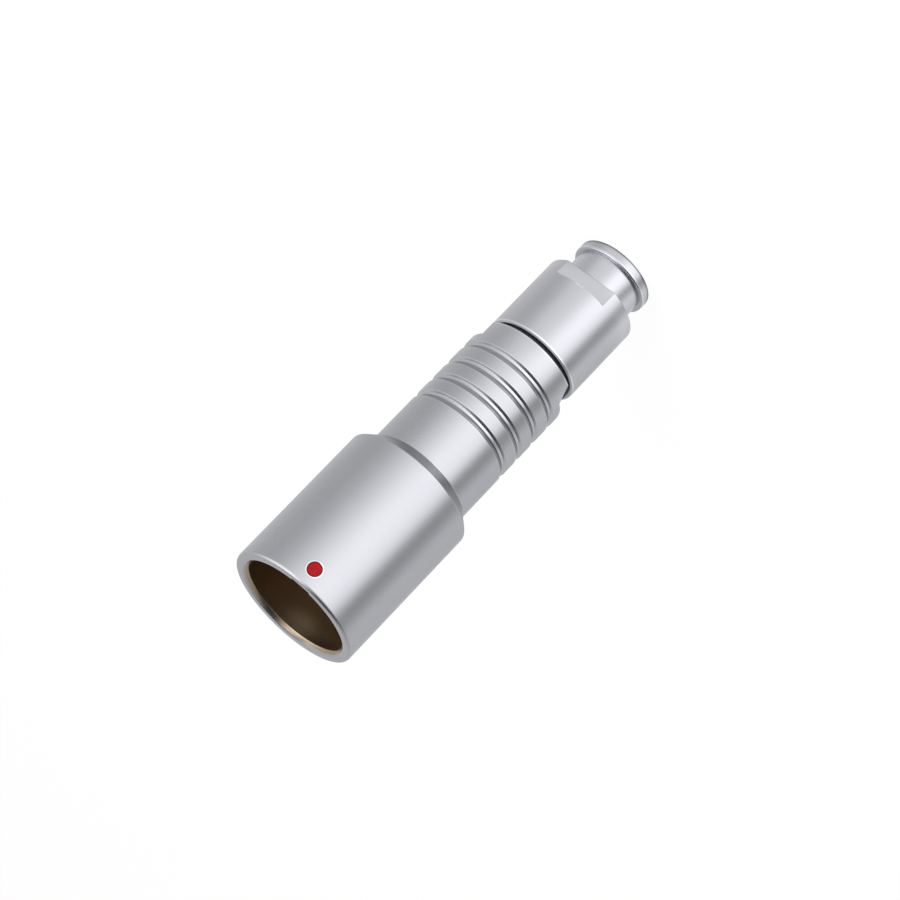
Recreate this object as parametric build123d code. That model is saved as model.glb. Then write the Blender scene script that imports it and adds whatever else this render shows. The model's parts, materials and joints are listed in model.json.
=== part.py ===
from build123d import *
from math import acos, radians, sin, tan
import os

# Straight push-pull circular cable connector, free socket. Millimetres.
# It stands on the rear flange of its collet nut: the axis is +Z, the mating mouth is at the top
# and the alignment dot and key slot face -Y.

# Clearance on the radius of a loose seat, and of pieces that turn or slide past each other
seat_clearance = 0.05
moving_clearance = 0.1
end_play = 0.3

# Cable end inside the nut, from the cable outwards
cable_dia = 7.0
entry_clearance = 0.3
entry_length = 6.4
entry_bevel = 0.4
gasket_wall = 0.65
gasket_length = 4.0
gasket_waist = 0.3
washer_thick = 0.8
cone_step = 0.35
cone_lead = 0.4
cone_length = 2.0
entry_dia = cable_dia + 2 * entry_clearance
gasket_bore_dia = cable_dia + 2 * (seat_clearance + gasket_wall + moving_clearance)
nose_bore_dia = gasket_bore_dia + 2 * cone_step

# Screw thread between nut and shell, whose turns are left off these solids
nose_wall = 0.81
nose_length = 8.1
nose_bevel = 0.3
thread_clearance = 0.04
thread_runout = 0.8
nose_dia = nose_bore_dia + 2 * nose_wall
thread_dia = nose_dia + 2 * thread_clearance

# Outside of the collet nut, from the rear face upwards
flange_dia = 11.4
flange_thick = 1.7
flange_round = 0.3
flange_rear_round = 0.5
neck_dia = 10.1
neck_length = 3.85
relief_width = 0.45
relief_depth = 0.15
nut_dia = 13.9
nut_length = 12.35
nut_bevel = 0.15
nut_flat_depth = 1.2
nut_flat_length = 2.6
nut_flat_turn = 10.2

# Outside of the shell's body, with grip grooves that have a steep rear wall, a flat floor and a
# long slope towards the mouth
gap_height = 0.9
body_dia = 15.2
body_length = 22.05
body_bevel = 0.15
body_flat_depth = 1.2
body_flat_length = 2.35
groove_count = 4
groove_pitch = 3.17
groove_from_barrel = 9.45
groove_depth = 0.42
groove_rear_run = 0.12
groove_floor = 0.4
groove_front_run = 0.8
groove_bevel = 0.06

# Mating end: bore, key slot, latch groove and the barrel round them
mating_bore_dia = 15.5
socket_depth = 15.4
lip_bevel = 0.55
key_slot_width = 2.8
key_slot_depth = 0.85
latch_from_mouth = 8.6
latch_width = 1.6
latch_depth = 0.7
barrel_wall = 1.75
barrel_length = 22.3
barrel_bevel = 0.1
cone_angle = 45.0
mouth_round = 0.3
barrel_dia = mating_bore_dia + 2 * barrel_wall

# Alignment dot, a disc of enamel in a shallow round pocket
dot_dia = 2.0
dot_from_mouth = 2.55
dot_thick = 0.3
dot_sink = 0.04
dot_clearance = 0.02

# Bore behind the thread, and the web that the insert seats on
thread_step = 0.2
web_thick = 3.0
web_lip = 0.55
insert_bore_dia = thread_dia - 2 * thread_step
web_bore_dia = insert_bore_dia - 2 * web_lip

# Insulators and half bushings
boss_from_mouth = 9.0
boss_bevel = 0.3
insulator_flange_thick = 2.0
rear_insulator_length = 5.0
bushing_wall = 0.8
bushing_step = 0.45
bushing_split = 0.1
boss_dia = web_bore_dia - 2 * seat_clearance
rear_insulator_dia = insert_bore_dia - 2 * (bushing_wall + 2 * seat_clearance)

# Contacts
contact_count = 8
contact_dia = 1.5
contact_hole_dia = 0.95
contact_hole_depth = 5.5
contact_slit_width = 0.25
contact_sink = 0.3
contact_rim = 0.4
collar_dia = 1.9
collar_thick = 0.9
shank_dia = 1.4
cup_length = 3.6
cup_bore_dia = 1.05
cup_bore_depth = 3.0
cup_cut_length = 2.1
lead_in_dia = 1.2
contact_circle_dia = rear_insulator_dia - 2 * (contact_rim + collar_dia / 2 + seat_clearance)

# Cable collet
collet_flange_thick = 2.0
collet_slots = 6
collet_slot_width = 0.8
collet_ring_length = 3.2
collet_ridges = 3
collet_ridge_pitch = 1.6
collet_ridge_height = 0.3

# Seals and earthing crown
nut_seal_wall = 0.9
nut_seal_bevel = 0.2
nut_seal_height = gap_height - moving_clearance
mating_seal_height = 1.0
mating_seal_width = 2.0
crown_base_height = 0.8
crown_knee_height = 2.2
crown_height = 3.2
crown_wall = 0.25
crown_bulge = 0.55
crown_tip_bulge = 0.2
crown_fingers = 12
crown_slot_width = 0.6

# Levels along the axis
nut_rear = flange_thick + neck_length
nut_front = nut_rear + nut_length
body_rear = nut_front + gap_height
cone_rear = body_rear + body_length
barrel_rear = cone_rear + (barrel_dia - body_dia) / 2 / tan(radians(cone_angle))
mouth = barrel_rear + barrel_length
socket_floor = mouth - socket_depth
insert_seat = socket_floor - web_thick
latch_top = mouth - latch_from_mouth
nose_end = nut_front + nose_length
thread_end = nose_end + thread_runout
boss_front = mouth - boss_from_mouth
flange_rear = insert_seat - insulator_flange_thick
rear_block_rear = flange_rear - rear_insulator_length
washer_rear = entry_length + gasket_length
collet_rear = washer_rear + washer_thick
collet_flange_rear = nose_end + end_play
collet_front = collet_flange_rear + collet_flange_thick
bushing_rear = collet_front + end_play
cone_start = collet_rear + cone_lead


def turned_face(corners):
    """Half section from (radius, height) corners. A third value eases a corner: above zero it is the
    radius of a round, below zero the leg of a bevel."""
    count = len(corners)
    edges = []
    joins = []
    for index, corner in enumerate(corners):
        here = Vector(corner[0], corner[1])
        before = corners[index - 1]
        after = corners[(index + 1) % count]
        if len(corner) == 2:
            joins.append((here, here))
            continue
        to_before = (Vector(before[0], before[1]) - here).normalized()
        to_after = (Vector(after[0], after[1]) - here).normalized()
        size = abs(corner[2])
        half_angle = acos(to_before.dot(to_after)) / 2
        reach = size / tan(half_angle) if corner[2] > 0 else size
        start = here + to_before * reach
        end = here + to_after * reach
        joins.append((start, end))
        if corner[2] > 0:
            middle = here + (to_before + to_after).normalized() * (size / sin(half_angle) - size)
            edges.append(ThreePointArc(start, middle, end))
        else:
            edges.append(Line(start, end))
    for index in range(count):
        start = joins[index][1]
        end = joins[(index + 1) % count][0]
        if (end - start).length > 1e-6:
            edges.append(Line(start, end))
    return make_face(edges)


def turned(corners):
    """Solid of revolution about the connector's axis."""
    return revolve(Plane.XZ * turned_face(corners), Axis.Z)


def tube(outer_dia, inner_dia, low, high):
    """Plain ring between two levels."""
    inner = inner_dia / 2
    outer = outer_dia / 2
    return turned([(inner, low), (outer, low), (outer, high), (inner, high)])


def rod(dia, low, high):
    """Plain cylinder on the axis between two levels."""
    return Pos(0, 0, low) * Cylinder(dia / 2, high - low, align=(Align.CENTER, Align.CENTER, Align.MIN))


def flats_cut(round_dia, flat_depth, low, high, turn):
    """The two slabs that a pair of spanner flats takes off a round, their normals turned from -Y."""
    slab = Box(round_dia, 2 * flat_depth, high - low, align=(Align.CENTER, Align.MIN, Align.MIN))
    one = Pos(0, round_dia / 2 - flat_depth, low) * slab
    return Rot(0, 0, turn) * (one + Rot(0, 0, 180) * one)


def round_the_circle(piece, count, dia):
    """Copies of a piece, evenly spaced on a circle about the axis."""
    return [Rot(0, 0, index * 360 / count) * Pos(dia / 2, 0, 0) * piece for index in range(count)]


def outer_shell():
    """Barrel, cone and grooved grip, turned from one bar."""
    body_radius = body_dia / 2
    barrel_radius = barrel_dia / 2
    bore_radius = mating_bore_dia / 2
    web_radius = web_bore_dia / 2
    groove_width = groove_rear_run + groove_floor + groove_front_run
    latch_radius = bore_radius + latch_depth
    outside = [(thread_dia / 2, body_rear), (body_radius, body_rear, -body_bevel)]
    for index in reversed(range(groove_count)):
        low = barrel_rear - groove_from_barrel - index * groove_pitch - groove_width
        floor_low = low + groove_rear_run
        floor_high = floor_low + groove_floor
        outside.append((body_radius, low, -groove_bevel))
        outside.append((body_radius - groove_depth, floor_low))
        outside.append((body_radius - groove_depth, floor_high))
        outside.append((body_radius, low + groove_width, -groove_bevel))
    outside.append((body_radius, cone_rear))
    outside.append((barrel_radius, barrel_rear, -barrel_bevel))
    outside.append((barrel_radius, mouth, mouth_round))
    inside = [
        (bore_radius + lip_bevel, mouth),
        (bore_radius, mouth - lip_bevel),
        (bore_radius, latch_top),
        (latch_radius, latch_top),
        (latch_radius, latch_top - latch_width),
        (bore_radius, latch_top - latch_width),
        (bore_radius, socket_floor),
        (web_radius, socket_floor),
        (web_radius, insert_seat),
        (insert_bore_dia / 2, insert_seat),
        (insert_bore_dia / 2, thread_end),
        (thread_dia / 2, thread_end),
    ]
    shell = turned(outside + inside)
    shell -= flats_cut(body_dia, body_flat_depth, body_rear, body_rear + body_flat_length, 90)
    slot_reach = bore_radius + key_slot_depth
    slot = Box(key_slot_width, slot_reach, mouth - socket_floor, align=(Align.CENTER, Align.MAX, Align.MIN))
    shell -= Pos(0, 0, socket_floor) * slot
    pocket = Pos(0, -barrel_radius, mouth - dot_from_mouth) * Rot(90, 0, 0) * Cylinder(
        dot_dia / 2 + dot_clearance, 2 * (dot_thick + dot_sink)
    )
    return shell - pocket


def alignment_dot():
    """Enamel disc, its face curved with the barrel and a little below it."""
    disc = Pos(0, -barrel_dia / 2, mouth - dot_from_mouth) * Rot(90, 0, 0) * Cylinder(
        dot_dia / 2, 2 * (dot_thick + dot_sink)
    )
    return disc & rod(barrel_dia - 2 * dot_sink, mouth - 2 * dot_from_mouth, mouth)


def collet_nut():
    """Nut, neck and rear flange in one piece, with the threaded nose that screws into the shell."""
    neck_radius = neck_dia / 2
    nut_radius = nut_dia / 2
    nose_radius = nose_dia / 2
    entry_radius = entry_dia / 2
    chamber_radius = gasket_bore_dia / 2
    nut = turned([
        (entry_radius + entry_bevel, 0),
        (flange_dia / 2, 0, flange_rear_round),
        (flange_dia / 2, flange_thick, flange_round),
        (neck_radius - relief_depth, flange_thick),
        (neck_radius - relief_depth, flange_thick + relief_width),
        (neck_radius, flange_thick + relief_width + relief_depth),
        (neck_radius, nut_rear),
        (nut_radius, nut_rear, -nut_bevel),
        (nut_radius, nut_front, -nut_bevel),
        (nose_radius, nut_front),
        (nose_radius, nose_end - nose_bevel),
        (nose_radius - nose_bevel, nose_end),
        (nose_bore_dia / 2, nose_end),
        (nose_bore_dia / 2, cone_start + cone_length),
        (chamber_radius, cone_start),
        (chamber_radius, entry_length),
        (entry_radius, entry_length),
        (entry_radius, entry_bevel),
    ])
    return nut - flats_cut(nut_dia, nut_flat_depth, nut_rear, nut_rear + nut_flat_length, nut_flat_turn)


def nut_seal():
    """Rubber ring on the root of the nut's nose, seen as the dark line between nut and shell."""
    inner_radius = thread_dia / 2 + seat_clearance
    outer_radius = inner_radius + nut_seal_wall
    top = nut_front + nut_seal_height
    return turned([
        (inner_radius, nut_front),
        (outer_radius, nut_front, -nut_seal_bevel),
        (outer_radius, top, -nut_seal_bevel),
        (inner_radius, top),
    ])


def front_insulator():
    """Contact block: a boss that stands in the mating bore and a flange that seats on the web."""
    flange_radius = insert_bore_dia / 2 - seat_clearance
    block = turned([
        (0, flange_rear),
        (flange_radius, flange_rear),
        (flange_radius, insert_seat),
        (boss_dia / 2, insert_seat),
        (boss_dia / 2, boss_front, -boss_bevel),
        (0, boss_front),
    ])
    contact_top = boss_front - contact_sink
    bore = rod(contact_dia + 2 * seat_clearance, flange_rear, contact_top) + rod(
        lead_in_dia, contact_top, boss_front
    )
    for hole in round_the_circle(bore, contact_count, contact_circle_dia):
        block -= hole
    return block


def rear_insulator():
    """Block that traps the contacts' collars against the front insulator."""
    block = rod(rear_insulator_dia, rear_block_rear, flange_rear)
    bore = rod(shank_dia + 2 * seat_clearance, rear_block_rear, flange_rear) + rod(
        collar_dia + 2 * seat_clearance, flange_rear - collar_thick - seat_clearance, flange_rear
    )
    for hole in round_the_circle(bore, contact_count, contact_circle_dia):
        block -= hole
    return block


def contact():
    """Slit sleeve at the mating end, collar in the middle, solder cup at the rear."""
    top = boss_front - contact_sink - seat_clearance
    collar_low = flange_rear - collar_thick
    cup_rear = rear_block_rear - cup_length
    cup_radius = cup_bore_dia / 2
    hole_radius = contact_hole_dia / 2
    pin = turned([
        (0, cup_rear + cup_bore_depth),
        (cup_radius, cup_rear + cup_bore_depth),
        (cup_radius, cup_rear),
        (shank_dia / 2, cup_rear),
        (shank_dia / 2, collar_low),
        (collar_dia / 2, collar_low),
        (collar_dia / 2, flange_rear),
        (contact_dia / 2, flange_rear),
        (contact_dia / 2, top),
        (hole_radius, top),
        (hole_radius, top - contact_hole_depth),
        (0, top - contact_hole_depth),
    ])
    slit = Pos(0, 0, top - contact_hole_depth / 2) * Box(
        contact_slit_width, contact_dia * 2, contact_hole_depth
    )
    mouth_of_cup = Pos(0, 0, cup_rear) * Box(
        shank_dia, shank_dia, cup_cut_length, align=(Align.MIN, Align.CENTER, Align.MIN)
    )
    return pin - slit - mouth_of_cup


def half_bushing(side):
    """One half of the split sleeve that carries the clamping force past the solder cups."""
    outer_radius = insert_bore_dia / 2 - seat_clearance
    block_radius = rear_insulator_dia / 2 + seat_clearance
    cup_chamber_radius = block_radius - bushing_step
    sleeve = turned([
        (cup_chamber_radius, bushing_rear),
        (outer_radius, bushing_rear),
        (outer_radius, flange_rear),
        (block_radius, flange_rear),
        (block_radius, rear_block_rear),
        (cup_chamber_radius, rear_block_rear),
    ])
    half = Pos(side * bushing_split / 2, 0, bushing_rear) * Box(
        insert_bore_dia,
        insert_bore_dia,
        flange_rear - bushing_rear,
        align=(Align.MIN if side > 0 else Align.MAX, Align.CENTER, Align.MIN),
    )
    return sleeve & half


def cable_collet():
    """Split collet: tapered fingers towards the cable entry, flange against the half bushings."""
    outer_radius = nose_bore_dia / 2 - moving_clearance
    tip_radius = gasket_bore_dia / 2 - moving_clearance
    grip_radius = cable_dia / 2 + seat_clearance + collet_ridge_height
    ridge_radius = grip_radius - collet_ridge_height
    flange_radius = insert_bore_dia / 2 - moving_clearance
    corners = [
        (grip_radius, collet_rear),
        (tip_radius, collet_rear),
        (tip_radius, cone_start),
        (outer_radius, cone_start + cone_length),
        (outer_radius, collet_flange_rear),
        (flange_radius, collet_flange_rear),
        (flange_radius, collet_front),
        (grip_radius, collet_front),
    ]
    for index in reversed(range(collet_ridges)):
        low = collet_rear + (index + 0.5) * collet_ridge_pitch
        corners.append((grip_radius, low + collet_ridge_height))
        corners.append((ridge_radius, low))
        corners.append((grip_radius, low - collet_ridge_height))
    collet = turned(corners)
    slot_top = collet_flange_rear - collet_ring_length
    slot = Pos(0, 0, collet_rear) * Box(
        flange_radius, collet_slot_width, slot_top - collet_rear, align=(Align.MIN, Align.CENTER, Align.MIN)
    )
    for index in range(collet_slots):
        collet -= Rot(0, 0, index * 360 / collet_slots) * slot
    return collet


def thrust_washer():
    """Washer that the collet's fingers push on."""
    outer = gasket_bore_dia - 2 * moving_clearance
    return tube(outer, cable_dia + 2 * moving_clearance, washer_rear, collet_rear)


def cable_gasket():
    """Rubber sleeve that seals on the cable."""
    inner_radius = cable_dia / 2 + seat_clearance
    outer_radius = gasket_bore_dia / 2 - moving_clearance
    return turned([
        (inner_radius, entry_length),
        (outer_radius, entry_length),
        (outer_radius, washer_rear),
        (inner_radius, washer_rear),
        (inner_radius + gasket_waist, (entry_length + washer_rear) / 2),
    ])


def mating_seal():
    """Flat rubber ring on the floor of the mating bore."""
    outer = mating_bore_dia - 2 * seat_clearance
    return tube(outer, outer - 2 * mating_seal_width, socket_floor, socket_floor + mating_seal_height)


def earthing_crown():
    """Ring of sprung fingers that bulge inwards, round the plug's nose."""
    low = socket_floor + mating_seal_height
    outer_radius = mating_bore_dia / 2 - seat_clearance
    inner_radius = outer_radius - crown_wall
    knee = low + crown_knee_height
    top = low + crown_height
    ring = turned([
        (inner_radius, low),
        (outer_radius, low),
        (outer_radius, low + crown_base_height),
        (outer_radius - crown_bulge, knee),
        (outer_radius - crown_tip_bulge, top),
        (inner_radius - crown_tip_bulge, top),
        (inner_radius - crown_bulge, knee),
        (inner_radius, low + crown_base_height),
    ])
    slot = Pos(0, 0, low + crown_base_height) * Box(
        mating_bore_dia, crown_slot_width, crown_height, align=(Align.MIN, Align.CENTER, Align.MIN)
    )
    for index in range(crown_fingers):
        ring -= Rot(0, 0, (index + 0.5) * 360 / crown_fingers) * slot
    return ring


pieces = {
    "outer_shell": outer_shell(),
    "alignment_dot": alignment_dot(),
    "collet_nut": collet_nut(),
    "nut_seal": nut_seal(),
    "front_insulator": front_insulator(),
    "rear_insulator": rear_insulator(),
    "half_bushing_left": half_bushing(-1),
    "half_bushing_right": half_bushing(1),
    "cable_collet": cable_collet(),
    "thrust_washer": thrust_washer(),
    "cable_gasket": cable_gasket(),
    "mating_seal": mating_seal(),
    "earthing_crown": earthing_crown(),
}
for number, piece in enumerate(round_the_circle(contact(), contact_count, contact_circle_dia), start=1):
    pieces[f"contact_{number}"] = piece

os.makedirs("parts", exist_ok=True)
for name, piece in pieces.items():
    export_step(piece, f"parts/{name}.step")
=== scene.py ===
import json
from math import cos, pi, radians, sin, sqrt
import bmesh
import bpy
from mathutils import Matrix, Vector


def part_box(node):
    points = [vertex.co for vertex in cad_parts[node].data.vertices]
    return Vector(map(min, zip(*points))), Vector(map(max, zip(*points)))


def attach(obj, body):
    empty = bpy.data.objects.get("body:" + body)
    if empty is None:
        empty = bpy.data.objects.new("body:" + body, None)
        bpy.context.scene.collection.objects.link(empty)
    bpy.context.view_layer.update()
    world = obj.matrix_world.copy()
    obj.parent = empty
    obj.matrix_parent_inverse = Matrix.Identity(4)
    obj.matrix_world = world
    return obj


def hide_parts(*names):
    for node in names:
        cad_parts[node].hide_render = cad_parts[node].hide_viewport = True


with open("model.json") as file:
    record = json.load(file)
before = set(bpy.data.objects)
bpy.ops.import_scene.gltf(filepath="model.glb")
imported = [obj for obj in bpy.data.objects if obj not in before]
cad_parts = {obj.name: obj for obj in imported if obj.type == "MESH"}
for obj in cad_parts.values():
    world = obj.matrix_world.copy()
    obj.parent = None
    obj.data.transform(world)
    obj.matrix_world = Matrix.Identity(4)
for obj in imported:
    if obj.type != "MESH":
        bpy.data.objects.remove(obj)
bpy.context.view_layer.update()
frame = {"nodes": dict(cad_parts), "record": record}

# Straight push-pull circular connector, standing on the rear flange of its collet nut, mouth up.
# Piece dictionaries are in millimetres, and each finished mesh is scaled to metres.
mm = 0.001
shellLow, shellHigh = (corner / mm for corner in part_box("outer_shell"))
sealLow, sealHigh = (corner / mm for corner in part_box("nut_seal"))
dotLow, dotHigh = (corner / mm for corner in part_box("alignment_dot"))
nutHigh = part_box("collet_nut")[1] / mm
dotHeight = (dotLow.z + dotHigh.z) / 2
dotMiddle = (0, dotLow.y, dotHeight)
mouth = shellHigh.z
barrelLength = 22.3
barrelRear = mouth - barrelLength
print("frame loaded:", len(frame["nodes"]), "nodes")

# Settings that several nodes share
colourMix = {"data_type": "RGBA"}
tinting = {"data_type": "RGBA", "blend_type": "MULTIPLY", 0: 1}
smoothSpan = {"interpolation_type": "SMOOTHSTEP"}


def linearColour(hexText):
    channels = [int(hexText[i:i + 2], 16) / 255 for i in (1, 3, 5)]
    return [c / 12.92 if c <= 0.04045 else ((c + 0.055) / 1.055) ** 2.4 for c in channels] + [1]


def addNode(tree, kind, settings=None, links=None):
    # Inputs go by name or by number: Map Range has its value at 0 and its spans at 1 to 4, and Mix
    # has its share at 0 and its colours at 6 and 7
    node = tree.nodes.new(kind)
    for name, value in (settings or {}).items():
        if isinstance(name, str) and name in node.bl_rna.properties:
            setattr(node, name, value)
        else:
            node.inputs[name].default_value = value
    for name, source in (links or {}).items():
        tree.links.new(source, node.inputs[name])
    return node


def newMaterial(name):
    material = bpy.data.materials.new(name)
    material.use_nodes = True
    material.node_tree.nodes.clear()
    return material, material.node_tree


def millimetres(tree):
    place = addNode(tree, "ShaderNodeTexCoord")
    grown = addNode(tree, "ShaderNodeMapping", {"Scale": (1 / mm,) * 3}, {"Vector": place.outputs["Object"]})
    return grown.outputs["Vector"]


def finishMaterial(tree, surface):
    addNode(tree, "ShaderNodeOutputMaterial", links={"Surface": surface.outputs[0]})


# Satin chrome on turned brass: blasted with fine grit before plating, so reflections are soft and a
# cool grey, with a faint lay of the lathe under them and slightly smoother patches where it is handled.
satinSpec = {
    "plateHex": "#c2c3c7", "handledHex": "#c8c9cc", "roughness": 0.27, "roughnessSpread": 0.06,
    "gritSize": 0.16, "gritDetail": 2, "gritDepth": 0.0016, "layPitch": 0.3, "layDetail": 3,
    "layDepth": 0.0008, "patchSize": 7.0, "patchDetail": 4,
}
# Inside the mouth the warm undercoat of the plating shows, tarnished to bronze further in.
boreSpec = {
    "lipHex": "#b2a38f", "deepHex": "#ab906f", "edgeRadius": 8.0, "blend": 0.3, "tarnishDepth": 2.4,
    "floor": mouth - 15.6, "roughness": (-0.05, 0.16),
    # Under the rim the key slot and the latch groove are cut deeper, so the warm zone is wider there
    "underRim": (0.5, 0.75), "widerBy": 0.9,
    # A painted highlight: a paler patch a little inside the mouth
    "glintHex": "#f1dfc2", "glintMiddle": (-0.94, 7.69, mouth - 0.8), "glintRadius": (3.8, 0.2),
    "glintShare": 0.6, "glintDepth": (0.45, 0.8),
    # A painted highlight: a bright ring round the edge of the dot's pocket
    "highlightRingInner": 1.12, "highlightRingOuter": 1.2, "highlightRingHex": "#f0f0f2",
}


def boreZone(tree, split, bore):
    # Where the warm undercoat shows: inside the mouth's edge and above the bore's floor
    flat = addNode(tree, "ShaderNodeCombineXYZ", links={"X": split.outputs["X"], "Y": split.outputs["Y"]})
    radius = addNode(tree, "ShaderNodeVectorMath", {"operation": "LENGTH"}, {0: flat.outputs[0]})
    under = addNode(tree, "ShaderNodeMapRange", {
        1: mouth - bore["underRim"][0], 2: mouth - bore["underRim"][1], 4: bore["widerBy"],
    }, {0: split.outputs["Z"]})
    drawn = addNode(tree, "ShaderNodeMath", {"operation": "SUBTRACT"},
                    {0: radius.outputs["Value"], 1: under.outputs[0]})
    inside = addNode(tree, "ShaderNodeMapRange", {
        1: bore["edgeRadius"] + bore["blend"], 2: bore["edgeRadius"],
    }, {0: drawn.outputs[0]})
    above = addNode(tree, "ShaderNodeMath", {"operation": "GREATER_THAN", 1: bore["floor"]},
                    {0: split.outputs["Z"]})
    return addNode(tree, "ShaderNodeMath", {"operation": "MULTIPLY"},
                   {0: inside.outputs[0], 1: above.outputs[0]}).outputs[0]


def boreColour(tree, place, split, depth, bore):
    warm = addNode(tree, "ShaderNodeMix", {
        **colourMix, 6: linearColour(bore["lipHex"]), 7: linearColour(bore["deepHex"]),
    }, {0: depth})
    # Painted highlight: a paler patch a little inside the mouth, blended over the warm colour
    fromGlint = addNode(tree, "ShaderNodeVectorMath", {"operation": "DISTANCE", 1: bore["glintMiddle"]},
                       {0: place})
    glintFade = addNode(tree, "ShaderNodeMapRange", {
        **smoothSpan, 1: bore["glintRadius"][0], 2: bore["glintRadius"][1], 4: bore["glintShare"],
    }, {0: fromGlint.outputs["Value"]})
    lower = addNode(tree, "ShaderNodeMapRange", {
        1: mouth - bore["glintDepth"][0], 2: mouth - bore["glintDepth"][1],
    }, {0: split.outputs["Z"]})
    paintedGlint = addNode(tree, "ShaderNodeMath", {"operation": "MULTIPLY"},
                   {0: glintFade.outputs[0], 1: lower.outputs[0]})
    return addNode(tree, "ShaderNodeMix", {**colourMix, 7: linearColour(bore["glintHex"])},
                   {0: paintedGlint.outputs[0], 6: warm.outputs[2]}).outputs[2]


def satinChrome(name, bore=None):
    material, tree = newMaterial(name)
    place = millimetres(tree)
    split = addNode(tree, "ShaderNodeSeparateXYZ", links={"Vector": place})
    patches = addNode(tree, "ShaderNodeTexNoise", {
        "Scale": 1 / satinSpec["patchSize"], "Detail": satinSpec["patchDetail"],
    }, {"Vector": place})
    colour = addNode(tree, "ShaderNodeMix", {
        **colourMix, 6: linearColour(satinSpec["plateHex"]), 7: linearColour(satinSpec["handledHex"]),
    }, {0: patches.outputs[0]}).outputs[2]
    shine = addNode(tree, "ShaderNodeMapRange", {
        3: satinSpec["roughness"] - satinSpec["roughnessSpread"] / 2,
        4: satinSpec["roughness"] + satinSpec["roughnessSpread"] / 2,
    }, {0: patches.outputs[0]})
    if bore:
        zone = boreZone(tree, split, bore)
        depth = addNode(tree, "ShaderNodeMapRange", {1: mouth, 2: mouth - bore["tarnishDepth"]},
                        {0: split.outputs["Z"]}).outputs[0]
        colour = addNode(tree, "ShaderNodeMix", colourMix, {
            0: zone, 6: colour, 7: boreColour(tree, place, split, depth, bore),
        }).outputs[2]
        # Painted highlight: a bright ring round the edge of the dot's pocket
        fromDot = addNode(tree, "ShaderNodeVectorMath", {"operation": "DISTANCE", 1: dotMiddle}, {0: place})
        ring = addNode(tree, "ShaderNodeMapRange", {1: bore["highlightRingOuter"], 2: bore["highlightRingInner"]},
                       {0: fromDot.outputs["Value"]})
        colour = addNode(tree, "ShaderNodeMix", {**colourMix, 7: linearColour(bore["highlightRingHex"])},
                         {0: ring.outputs[0], 6: colour}).outputs[2]
        dull = addNode(tree, "ShaderNodeMapRange", {3: bore["roughness"][0], 4: bore["roughness"][1]},
                       {0: depth})
        shine = addNode(tree, "ShaderNodeMath", {"operation": "MULTIPLY_ADD"},
                        {0: zone, 1: dull.outputs[0], 2: shine.outputs[0]})
    # The per-face share paints shade and highlights into the plating's colour
    paintedLight = addNode(tree, "ShaderNodeAttribute", {"attribute_name": "shade_and_highlight"})
    colour = addNode(tree, "ShaderNodeMix", tinting, {6: colour, 7: paintedLight.outputs["Color"]}).outputs[2]
    grit = addNode(tree, "ShaderNodeTexNoise", {
        "Scale": 1 / satinSpec["gritSize"], "Detail": satinSpec["gritDetail"],
    }, {"Vector": place})
    rings = addNode(tree, "ShaderNodeCombineXYZ", links={"Z": split.outputs["Z"]})
    lay = addNode(tree, "ShaderNodeTexNoise", {
        "Scale": 1 / satinSpec["layPitch"], "Detail": satinSpec["layDetail"],
    }, {"Vector": rings.outputs[0]})
    layBump = addNode(tree, "ShaderNodeBump", {"Strength": 1, "Distance": satinSpec["layDepth"] * mm},
                      {"Height": lay.outputs[0]})
    gritBump = addNode(tree, "ShaderNodeBump", {"Strength": 1, "Distance": satinSpec["gritDepth"] * mm},
                       {"Height": grit.outputs[0], "Normal": layBump.outputs["Normal"]})
    surface = addNode(tree, "ShaderNodeBsdfPrincipled", {"Metallic": 1}, {
        "Base Color": colour, "Roughness": shine.outputs[0], "Normal": gritBump.outputs["Normal"],
    })
    finishMaterial(tree, surface)
    return material


# Plain metals of the inner pieces: turned or stamped brass under thin nickel or gold, brighter than the
# outside and less even, with a fine lay.
innerMetals = {
    "plain_nickel": {"hexes": ("#c9c0ae", "#b3aa98"), "roughness": 0.26},
    "gilt_bronze": {"hexes": ("#d8b25c", "#b98e3c"), "roughness": 0.24},
    "gilt_contact": {"hexes": ("#e0bb62", "#c39a45"), "roughness": 0.2},
}
innerLook = {
    "cloudSize": 2.0, "cloudDetail": 5, "roughnessSpread": 0.1, "laySize": 0.2, "layDetail": 2,
    "layDepth": 0.001,
}
# Moulded pieces: glass-filled insulator resin is dull with a fine grain, seal rubber is near black with
# a soft bloom, and the filled enamel of the dot is an even satin red, with painted shade darkening its rim.
mouldings = {
    "grey_resin": {
        "hexes": ("#6a655e", "#5c5852"), "roughness": 0.5, "grain": 0.25, "depth": 0.004, "gloss": 0.5,
    },
    "black_rubber": {
        "hexes": ("#141415", "#1d1d1f"), "roughness": 0.62, "grain": 0.35, "depth": 0.006, "gloss": 0.5,
    },
    "red_enamel": {
        "hexes": ("#bb141c", "#7d0b12"), "roughness": 0.42, "grain": 0.45, "depth": 0.004, "gloss": 0.14,
        "rim": {"inner": 0.8, "outer": 0.97, "hex": "#5a1117"},
    },
}
mouldedLook = {"grainDetail": 3, "ior": 1.5}


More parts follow.
